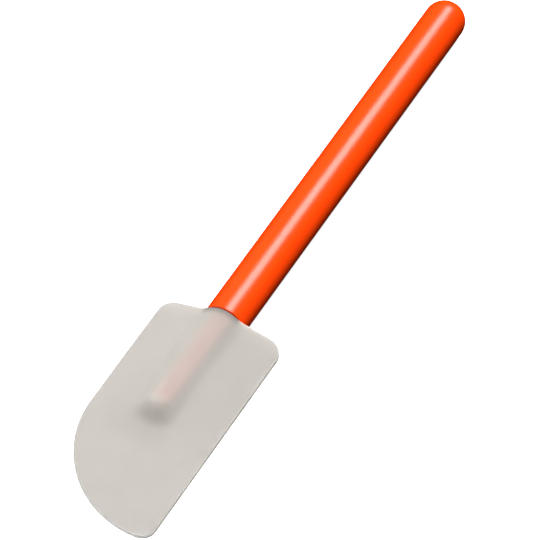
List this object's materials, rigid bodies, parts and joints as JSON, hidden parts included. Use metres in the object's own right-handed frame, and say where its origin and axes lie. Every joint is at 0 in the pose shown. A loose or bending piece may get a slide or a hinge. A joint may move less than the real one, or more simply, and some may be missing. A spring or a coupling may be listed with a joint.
{
  "type": "silicone spatula",
  "caption": "Kitchen spatula: a round moulded handle, a tang insert that plugs it, and a flexible silicone blade with a tapered root that pushes onto the tang and pulls off for washing.",
  "frame": {"origin": "on the handle's axis, in the plane of the handle's mouth, where the blade meets the handle", "axes": "+Y along the handle towards its butt, +X towards the blade's long straight side, +Z out of the blade's face"},
  "size_m": [0.0487, 0.2862, 0.0162],
  "materials": {
    "handle_plastic": "polished orange moulded plastic",
    "tang_plastic": "orange moulded plastic, as moulded",
    "silicone": "translucent milky white silicone rubber, satin"
  },
  "bodies": {
    "handle_body": {"handle": "handle_plastic", "tang": "tang_plastic"},
    "blade_body": {"blade": "silicone"}
  },
  "joints": [
    {"name": "blade_pull", "type": "slide", "parent": "handle_body", "child": "blade_body", "axis": [0, -1, 0], "range_m": [0, 0.05]}
  ]
}
